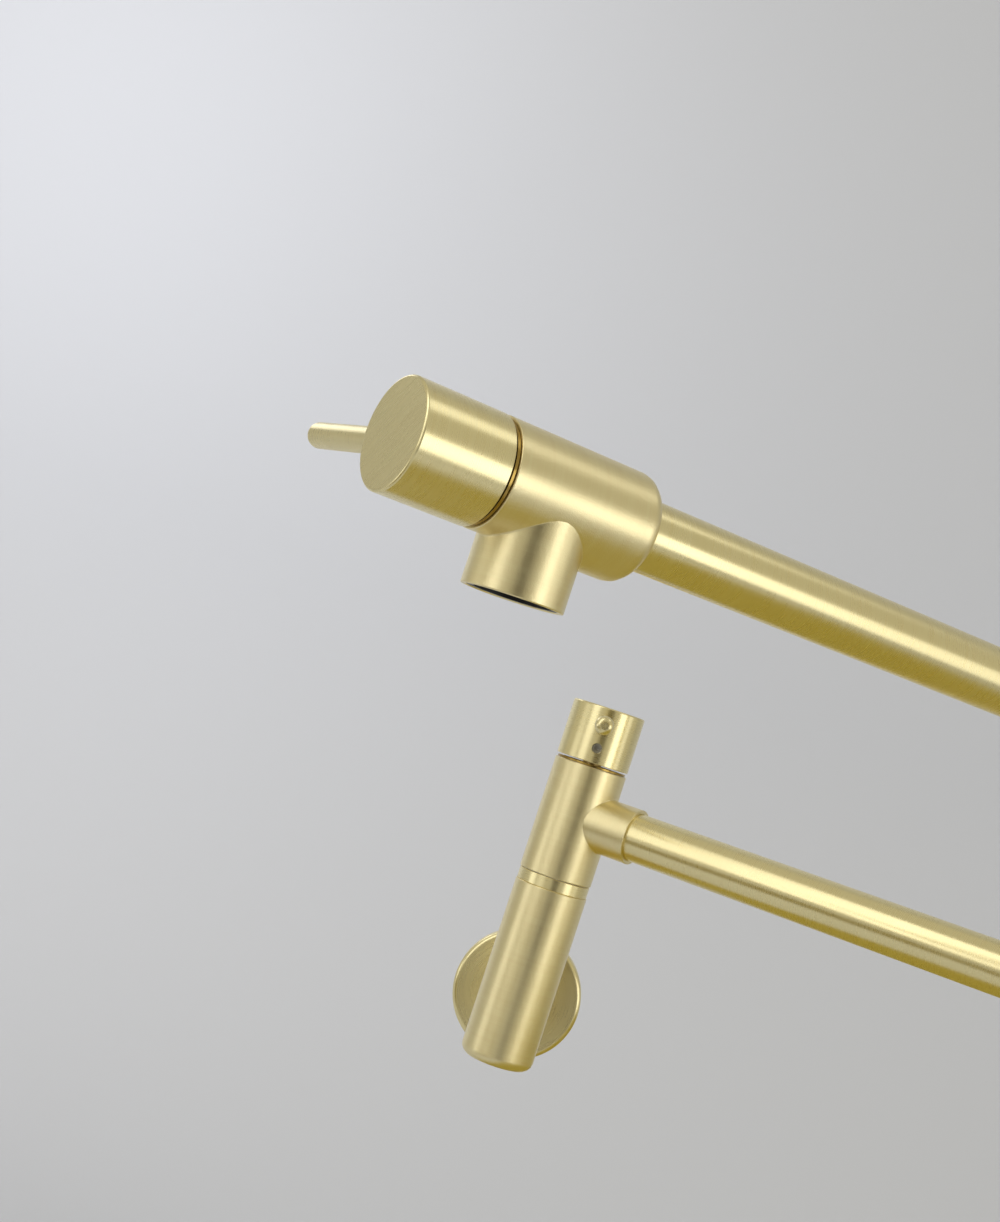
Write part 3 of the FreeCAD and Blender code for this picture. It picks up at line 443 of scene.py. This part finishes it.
pattern = {
    "detail": 4.0, "roughness": 0.55,
    "shade": 0.9,  # the darkest the pattern makes the colour
    "from": 0.25, "to": 0.75,  # the noise, from smooth to rough
    "depth": 0.05,  # mm
}


def plainFinish(name):
    look = finishes[name]
    material, tree = newMaterial(name)
    position = addNode(tree, "ShaderNodeTexCoord", {}).outputs["Object"]
    grain = addNode(tree, "ShaderNodeTexNoise", {
        "Vector": position, "Scale": 1 / (look["grain"] * mm), "Detail": pattern["detail"],
        "Roughness": pattern["roughness"]}).outputs[0]
    colour = linear(look["colour"])
    shaded = tuple(pattern["shade"] * part for part in colour[:3]) + (1.0,)
    shade = addNode(tree, "ShaderNodeMix", {"Factor": grain, "A": shaded, "B": colour},
                    data_type="RGBA")
    roughness = addNode(tree, "ShaderNodeMapRange", {
        "Value": grain, "From Min": pattern["from"], "From Max": pattern["to"],
        "To Min": look["roughness"] - look["spread"] / 2,
        "To Max": look["roughness"] + look["spread"] / 2}).outputs[0]
    skin = addNode(tree, "ShaderNodeBump", {
        "Height": grain, "Strength": look["bump"], "Distance": pattern["depth"] * mm}).outputs[0]
    shader = addNode(tree, "ShaderNodeBsdfPrincipled", {
        "Base Color": shade.outputs["Result"], "Metallic": look["metallic"],
        "Roughness": roughness, "Normal": skin})
    closeMaterial(tree, shader)
    return material


materials = {name: plainFinish(name) for name in finishes}
materials.update({name: brushedGold(name) for name in goldGrades})
materials["brushed_gold"] = materials["turnedGoldBrass"]
for node, cadPiece in frame["nodes"].items():
    cadPiece.data.materials.clear()
    cadPiece.data.materials.append(materials[slots[node]])
print("materials made:", len(materials))


def inMetres(sizes):
    # Each piece's sizes are written in millimetres.
    return {name: value * mm for name, value in sizes.items()}


# Posts, sleeves and their branches

shell = inMetres({
    "edge": 0.3, "crisp": 0.12, "foot": 4.2, "blend": 0.45, "patch": 14.6,
    "sleeveBore": 13, "recess": 14, "recessDepth": 1.2, "capRecess": 4,
    "coreSeat": 11, "coreDepth": 28, "collar": 11.25, "socket": 9.8, "socketDepth": 12,
    "pipe": 12.5, "nippleSeat": 10.53, "nippleDepth": 16, "water": 7.5, "waterEnd": 9,
})
postWall = measure("post_sleeve", places["post"])["side"]


def postBranch(table):
    # A branch at the place's own height. The blend's last ring stands for the outline's first row.
    return {"sign": 1, "at": 0, "half": shell["patch"], "blend": shell["blend"],
            "table": table[1:]}


def collarBranch(reach):
    # The socket of an arm tube: out along the collar, round its end and back to the tube's seat.
    end = reach - shell["socketDepth"]
    return postBranch(roundCorners([
        (shell["collar"], postWall, 0), (shell["collar"], reach, shell["edge"]),
        (shell["socket"], reach, shell["crisp"]), (shell["socket"], end, shell["crisp"]),
        (0, end, 0)]))


def pipeBranch(reach):
    # The pipe to the wall: out along it, round its end, back to the nipple's seat and the bore.
    seatEnd = reach - shell["nippleDepth"]
    return postBranch(roundCorners([
        (shell["pipe"], postWall, 0), (shell["pipe"], reach, shell["edge"]),
        (shell["nippleSeat"], reach, shell["crisp"]),
        (shell["nippleSeat"], seatEnd, shell["crisp"]), (shell["water"], seatEnd, shell["crisp"]),
        (shell["water"], shell["waterEnd"], shell["crisp"]), (0, shell["waterEnd"], 0)]))


def sleevePiece(name, node, place, topRecess):
    # A short tube, recessed at both ends for its bearings or cap.
    size = measure(node, places[place])
    low, high, wide = size["low"], size["high"], size["side"]
    bore, recess, crisp = shell["sleeveBore"], shell["recess"], shell["crisp"]
    shelfLow, shelfHigh = low + shell["recessDepth"], high - topRecess
    table = roundCorners([
        (recess, low, crisp), (wide, low, shell["edge"]), (wide, high, shell["edge"]),
        (recess, high, crisp), (recess, shelfHigh, crisp), (bore, shelfHigh, crisp),
        (bore, shelfLow, crisp), (recess, shelfLow, crisp)], closed=True)
    standIn(name, node, wallGrids(table, [collarBranch(size["reach"])]), places[place],
            materials["castGoldBrass"])


def lowerPost(name, node, place, makeBranch):
    # A bar with a rounded foot, bored from above for the core.
    size = measure(node, places[place])
    low, high, seat, crisp = size["low"], size["high"], shell["coreSeat"], shell["crisp"]
    floor = high - shell["coreDepth"]
    table = roundCorners([
        (0, low, 0), (size["side"], low, shell["foot"]), (size["side"], high, shell["edge"]),
        (seat, high, crisp), (seat, floor, crisp), (0, floor, 0)])
    standIn(name, node, wallGrids(table, [makeBranch(size["reach"])]), places[place],
            materials["castGoldBrass"])


sleevePiece("postSleeve", "post_sleeve", "post", shell["recessDepth"])
sleevePiece("elbowSleeve", "elbow_upper_sleeve", "elbowHigh", shell["capRecess"])
lowerPost("elbowFoot", "elbow_lower_body", "elbowLow", collarBranch)
lowerPost("wallPost", "inlet_body", "inletBody", pipeBranch)
print("posts and sleeves made")


# Plain turned pieces: each outline is corners of radius, height and rounding

trim = inMetres({"crisp": 0.06, "edge": 0.3, "faceChamfer": 0.45, "faceRound": 0.6})
faceGrain = 40  # degrees from a lever to the straight brushing of a face


def turnedPiece(name, node, place, corners, closed=True, straightEnd=False, branches=(),
                grade="turnedGoldBrass"):
    table = roundCorners(corners, closed)
    grids = []
    if straightEnd:  # the last flat face is brushed straight
        grids.append(turnedGrid(table[-2:], straight=np.radians(faceGrain)))
        table = table[:-1]
    grids += wallGrids(table, branches) if branches else [turnedGrid(table)]
    standIn(name, node, grids, places[place], materials[grade])


band = inMetres({"bore": 13, "chamfer": 0.2})


def bandPiece(name, node, place):
    # The thin ring between the fixed and the turning half of a post, chamfered on both edges.
    size = measure(node, places[place])
    wide, low, high = size["radius"], size["low"], size["high"]
    bore, cut, crisp = band["bore"], band["chamfer"], trim["crisp"]
    turnedPiece(name, node, place, [
        (bore, low, crisp), (wide - cut, low, crisp), (wide, low + cut, crisp),
        (wide, high - cut, crisp), (wide - cut, high, crisp), (bore, high, crisp)])


neck = inMetres({"spigot": 11.55, "hub": 12.9, "height": 0.85})


def neckPiece(name, node, place):
    # The recessed ring that shows in the gap under a knob; its darker, browner gold is painted
    # shade for the gap.
    size = measure(node, places[place])
    low, high, wide, crisp = size["low"], size["high"], size["radius"], trim["crisp"]
    step = high - neck["height"]
    turnedPiece(name, node, place, [
        (neck["spigot"], low, crisp), (neck["hub"], low, crisp), (neck["hub"], step, crisp),
        (wide, step, crisp), (wide, high, crisp), (neck["spigot"], high, crisp)],
        grade="paintedShadeRingGold")


tube = inMetres({"wall": 1.25})


def tubePiece(name, node, place):
    size = measure(node, places[place])
    low, high, wide, edge = size["low"], size["high"], size["radius"], trim["edge"]
    bore = wide - tube["wall"]
    turnedPiece(name, node, place, [
        (bore, low, edge), (wide, low, edge), (wide, high, edge), (bore, high, edge)])


pin = inMetres({"tip": 2.4})


def leverPiece(name, node, place):
    size = measure(node, places[place])
    low, high, wide = size["low"], size["high"], size["radius"]
    turnedPiece(name, node, place, [
        (0, low, 0), (wide, low, trim["edge"]), (wide, high, pin["tip"]), (0, high, 0)],
        closed=False)


cap = inMetres({"hollow": 12.6, "hub": 13.95, "spigot": 1.05})


def capPiece():
    # The elbow's cap: a hollow spigot below, and a chamfered, straight-brushed face above.
    size = measure("elbow_cap", places["elbowHigh"])
    low, high, wide, cut = size["low"], size["high"], size["radius"], trim["faceChamfer"]
    seat, crisp, soft = low + cap["spigot"], trim["crisp"], trim["faceRound"]
    turnedPiece("elbowCap", "elbow_cap", "elbowHigh", [
        (0, seat, 0), (cap["hollow"], seat, crisp), (cap["hollow"], low, crisp),
        (cap["hub"], low, crisp), (cap["hub"], seat, crisp), (wide, seat, trim["edge"]),
        (wide, high - cut, soft), (wide - cut, high, soft), (0, high, 0)],
        closed=False, straightEnd=True)


flange = inMetres({"rim": 0.2, "round": 2, "sealInner": 21, "sealOuter": 25, "sealDepth": 1.5})


def flangePiece():
    # The cover plate, with a groove for its seal in the face on the wall.
    size = measure("wall_flange", places["inlet"])
    high, wide, bore, crisp = size["high"], size["radius"], size["bore"], trim["crisp"]
    inner, outer, depth = flange["sealInner"], flange["sealOuter"], flange["sealDepth"]
    turnedPiece("wallFlange", "wall_flange", "inlet", [
        (bore, 0, crisp), (inner, 0, crisp), (inner, depth, crisp), (outer, depth, crisp),
        (outer, 0, crisp), (wide, 0, flange["rim"]), (wide, high, flange["round"]),
        (bore, high, trim["edge"])])


bandPiece("postBand", "post_ring", "post")
bandPiece("elbowBand", "elbow_ring", "elbowHigh")
neckPiece("wallNeck", "wall_neck_ring", "wallKnob")
neckPiece("headNeck", "head_neck_ring", "head")
tubePiece("lowerArm", "arm_tube_1", "armOne")
tubePiece("upperArm", "arm_tube_2", "armTwo")
leverPiece("wallLever", "wall_lever", "wallLever")
leverPiece("headLever", "head_lever", "headLever")
capPiece()
flangePiece()
print("turned pieces made")


# Knobs

knob = inMetres({
    "recess": 12.6, "recessTop": 3.5, "insert": 6.05, "insertTop": 12.05,
    "leverHole": 3.65, "leverHalf": 5.2, "leverFloor": 8.9,
    "screwHole": 2.05, "screwHalf": 2.9, "screwAt": 7, "holeEdge": 0.12,
})


def holeBranch(at, half, radius, wall, floor):
    # A blind round hole: in from the wall to its flat floor, which is at this radius.
    table = roundCorners([(radius, wall, 0), (radius, floor, trim["crisp"]), (0, floor, 0)])
    return {"sign": -1, "at": at, "half": half, "blend": knob["holeEdge"], "table": table[1:]}


def knobPiece(name, node, place, leverNode):
    # A cup with a chamfered, straight-brushed face, and holes in its side for lever and screw.
    size = measure(node, places[place])
    low, high, wide = size["low"], size["high"], size["radius"]
    cut, crisp, soft = trim["faceChamfer"], trim["crisp"], trim["faceRound"]
    screwHole = holeBranch(knob["screwAt"], knob["screwHalf"], knob["screwHole"], wide,
                           knob["insert"] + crisp)
    leverHole = holeBranch(heightOf(leverNode, place), knob["leverHalf"], knob["leverHole"], wide,
                           knob["leverFloor"])
    turnedPiece(name, node, place, [
        (0, knob["insertTop"], 0), (knob["insert"], knob["insertTop"], crisp),
        (knob["insert"], knob["recessTop"], crisp), (knob["recess"], knob["recessTop"], crisp),
        (knob["recess"], low, crisp), (wide, low, trim["edge"]), (wide, high - cut, soft),
        (wide - cut, high, soft), (0, high, 0)],
        closed=False, straightEnd=True, branches=[screwHole, leverHole])


knobPiece("wallKnob", "wall_knob", "wallKnob", "wall_lever")
knobPiece("headKnob", "head_knob", "headKnob", "head_lever")


# Head with its outlet stub

head = inMetres({
    "socket": 9.8, "socketDepth": 12, "hub": 12.95, "hubDepth": 2, "spigot": 11.5, "pocket": 9.55,
    "pocketDepth": 24, "back": 4.2, "stub": 13.7, "stubBlend": 0.55, "stubHalf": 17, "rim": 0.35,
    "seat": 12.3, "seatDepth": 12, "water": 7.5, "waterTop": 11,
})


def headPiece():
    # A barrel with the arm's socket at one end and the valve's pocket at the other, and below it
    # the stub with the aerator's seat. Height 0 is the middle of the gap between barrel and knob.
    size = measure("head_body", places["head"])
    low, high, wide, crisp = size["low"], size["high"], size["side"], trim["crisp"]
    face = -measure("head_knob", places["headKnob"])["low"]
    socketEnd, stubEnd = low + head["socketDepth"], size["reach"]
    hubEnd, pocketEnd = -head["hubDepth"], -head["pocketDepth"]
    seatEnd = stubEnd - head["seatDepth"]
    stub = roundCorners([
        (head["stub"], wide, 0), (head["stub"], stubEnd, head["rim"]),
        (head["seat"], stubEnd, head["rim"]), (head["seat"], seatEnd, crisp),
        (head["water"], seatEnd, crisp), (head["water"], head["waterTop"], crisp),
        (0, head["waterTop"], 0)])
    outlet = {"sign": 1, "at": heightOf("aerator_housing", "head"), "half": head["stubHalf"],
              "blend": head["stubBlend"], "table": stub[1:]}
    turnedPiece("headBody", "head_body", "head", [
        (0, socketEnd, 0), (head["socket"], socketEnd, crisp), (head["socket"], low, crisp),
        (wide, low, head["back"]), (wide, face, trim["edge"]), (head["hub"], face, crisp),
        (head["hub"], hubEnd, crisp), (head["spigot"], hubEnd, crisp),
        (head["spigot"], high, crisp), (head["pocket"], high, crisp),
        (head["pocket"], pocketEnd, crisp), (0, pocketEnd, 0)],
        closed=False, branches=[outlet], grade="castGoldBrass")


headPiece()
print("knobs and head made")


# Stage, lamps and camera

stageLook = {"colour": "#e2e4ea", "floor": -0.30, "back": 0.9, "bend": 0.5, "bendSteps": 25,
             "width": 6.0, "front": -3.0, "top": 2.6}
sheetLook = {"roughness": 0.9, "specular": 0.1}  # matt paper and painted board


def flatMesh(name, points, quads, colour):
    # A staged sheet in one matt colour.
    mesh = bpy.data.meshes.new(name)
    mesh.from_pydata(np.reshape(points, (-1, 3)).tolist(), [], np.reshape(quads, (-1, 4)).tolist())
    mesh.polygons.foreach_set("use_smooth", np.ones(len(mesh.polygons), bool))
    material, tree = newMaterial(name)
    shader = addNode(tree, "ShaderNodeBsdfPrincipled", {
        "Base Color": linear(colour), "Roughness": sheetLook["roughness"],
        "Specular IOR Level": sheetLook["specular"]})
    closeMaterial(tree, shader)
    mesh.materials.append(material)
    sheet = addObject(name, mesh)
    return sheet


def sweepStage():
    # Floor and backdrop in one sheet of pale paper: flat, then a quarter circle, then upright.
    floor, back, bend = stageLook["floor"], stageLook["back"], stageLook["bend"]
    angle = np.linspace(0, np.pi / 2, stageLook["bendSteps"])
    y = np.concatenate([[stageLook["front"]], back - bend + bend * np.sin(angle), [back]])
    z = np.concatenate([[floor], floor + bend - bend * np.cos(angle), [stageLook["top"]]])
    x = np.array([-1, 1]) * stageLook["width"] / 2
    points = np.stack([x + 0 * y[:, None], y[:, None] + 0 * x, z[:, None] + 0 * x], axis=-1)
    index = np.arange(points.shape[0] * 2).reshape(-1, 2)
    quads = np.stack([index[:-1, 0], index[:-1, 1], index[1:, 1], index[1:, 0]], axis=-1)
    flatMesh("paperSweep", points, quads, stageLook["colour"])


# Lamps and cards: azimuth and elevation in degrees, distance and size in metres, all from the aim
# spot at the head. A lamp's glow is its brightness, where 1 is white. The cards are boards that
# only reflections show, so their colours are painted reflections: the front card paints a dark
# band on the brushed metal, and the two low cards paint a warm gold reflection on its lower sides.
aimSpot = np.array([-0.03, -0.33, 0.16])
lampColour = "#f4f6ff"
lamps = {
    "keyBox": {"azimuth": -118, "elevation": 0, "distance": 1.2, "size": (0.56, 0.58),
               "glow": 1.75},
    "rightBox": {"azimuth": -92, "elevation": 2, "distance": 1.2, "size": (0.40, 0.55),
                 "glow": 0.66},
    "frontLeftBox": {"azimuth": 134, "elevation": 30, "distance": 1.2, "size": (0.62, 1.60),
                     "glow": 1.35},
    "leftBox": {"azimuth": 96, "elevation": -14, "distance": 0.95, "size": (0.40, 0.26),
                "glow": 1.3},
    "backLeftBox": {"azimuth": 44, "elevation": 23, "distance": 1.1, "size": (0.45, 0.30),
                    "glow": 1.4},
    "topBox": {"azimuth": -88, "elevation": 60, "distance": 1.4, "size": (0.45, 0.45),
               "glow": 0.95},
}
# One more lamp stands beside the object and shines past it, on the backdrop only
wallLamp = {"spot": (-0.75, 0.3, 0.6), "aim": (-0.75, 0.9, 0.6), "size": (0.8, 0.8), "glow": 1.3}
cards = {
    "frontCard": {"azimuth": -168, "elevation": 0, "distance": 1.1, "size": (0.52, 1.0),
                  "colour": "#4d4530"},
    "lowCard": {"azimuth": -60, "elevation": -60, "distance": 0.45, "size": (0.8, 0.7),
                "colour": "#beb05e"},
    "lowLeftCard": {"azimuth": 125, "elevation": -50, "distance": 0.6, "size": (0.7, 0.5),
                    "colour": "#a29561"},
}


def direction(azimuth, elevation):
    # A unit vector from degrees: azimuth counter-clockwise from +Y, elevation up from level.
    azimuth, elevation = np.radians(azimuth), np.radians(elevation)
    return np.array([-np.sin(azimuth) * np.cos(elevation), np.cos(azimuth) * np.cos(elevation),
                     np.sin(elevation)])


def facing(look):
    # Middle and axes (across, up, away) of a lamp or card that faces the head.
    away = direction(look["azimuth"], look["elevation"])
    spot, axes = makePlace(aimSpot + away * look["distance"], away, upward)
    return spot, np.array([-axes[1], axes[0], away])


def setPlace(thing, spot, axes):
    rows = [[*axes[:, row], spot[row]] for row in range(3)]
    thing.matrix_world = Matrix(rows + [[0, 0, 0, 1]])


def addLamp(name, spot, axes, look):
    # An area lamp's energy for a brightness: glow times pi times its area.
    lamp = bpy.data.lights.new(name, "AREA")
    lamp.shape = "RECTANGLE"
    lamp.size, lamp.size_y = look["size"]
    lamp.energy = look["glow"] * np.pi * np.prod(look["size"])
    lamp.color = linear(lampColour)[:3]
    holder = addObject(name, lamp)
    setPlace(holder, spot, axes)
    holder.visible_camera = False


def addLamps():
    for name, look in lamps.items():
        addLamp(name, *facing(look), look)
    spot, axes = makePlace(wallLamp["spot"], np.subtract(wallLamp["spot"], wallLamp["aim"]), upward)
    addLamp("backdropBox", spot, np.array([-axes[1], axes[0], axes[2]]), wallLamp)


def addCards():
    for name, look in cards.items():
        spot, axes = facing(look)
        across, aloft = np.array(look["size"])[:, None] / 2 * axes[:2]
        corners = [spot + x * across + y * aloft for x, y in ((-1, -1), (1, -1), (1, 1), (-1, 1))]
        # each card shows only in reflections, so its colour is a painted reflection
        card = flatMesh(name, corners, [0, 1, 2, 3], look["colour"])
        for ray in ("camera", "diffuse", "shadow", "transmission"):
            setattr(card, "visible_" + ray, False)


worldLook = "#bdb9ab"  # even, slightly warm studio light all round


def makeWorld():
    world = bpy.data.worlds.new("softStudio")
    bpy.context.scene.world = world
    world.use_nodes = True
    tree = world.node_tree
    tree.nodes.clear()
    light = addNode(tree, "ShaderNodeBackground", {"Color": linear(worldLook), "Strength": 1.0})
    addNode(tree, "ShaderNodeOutputWorld", {"Surface": light.outputs[0]})


# The photograph's camera: its place, heading, tilt and roll in degrees, and its lens, in pixels of
# the frame's long side and as on a sensor 36 mm wide
cameraLook = {"spot": (0, -0.7983, 0.1183), "heading": 4.29, "tilt": 2.75, "roll": 18.317,
              "focalPixels": 1799.5, "longSide": 1222, "sensor": 36}


def addCamera():
    heading, roll = np.radians(cameraLook["heading"]), np.radians(cameraLook["roll"])
    forward = direction(cameraLook["heading"], cameraLook["tilt"])
    right = np.array([np.cos(heading), np.sin(heading), 0])
    across = np.cos(roll) * right + np.sin(roll) * np.cross(right, forward)
    data = bpy.data.cameras.new("photoCamera")
    data.sensor_width = cameraLook["sensor"]
    data.lens = cameraLook["focalPixels"] * cameraLook["sensor"] / cameraLook["longSide"]
    camera = addObject("photoCamera", data)
    setPlace(camera, cameraLook["spot"], np.array([across, np.cross(across, forward), -forward]))
    bpy.context.scene.camera = camera


sweepStage()
addLamps()
addCards()
makeWorld()
addCamera()
bpy.context.scene.view_settings.view_transform = "Standard"
print("stage, lamps and camera made")
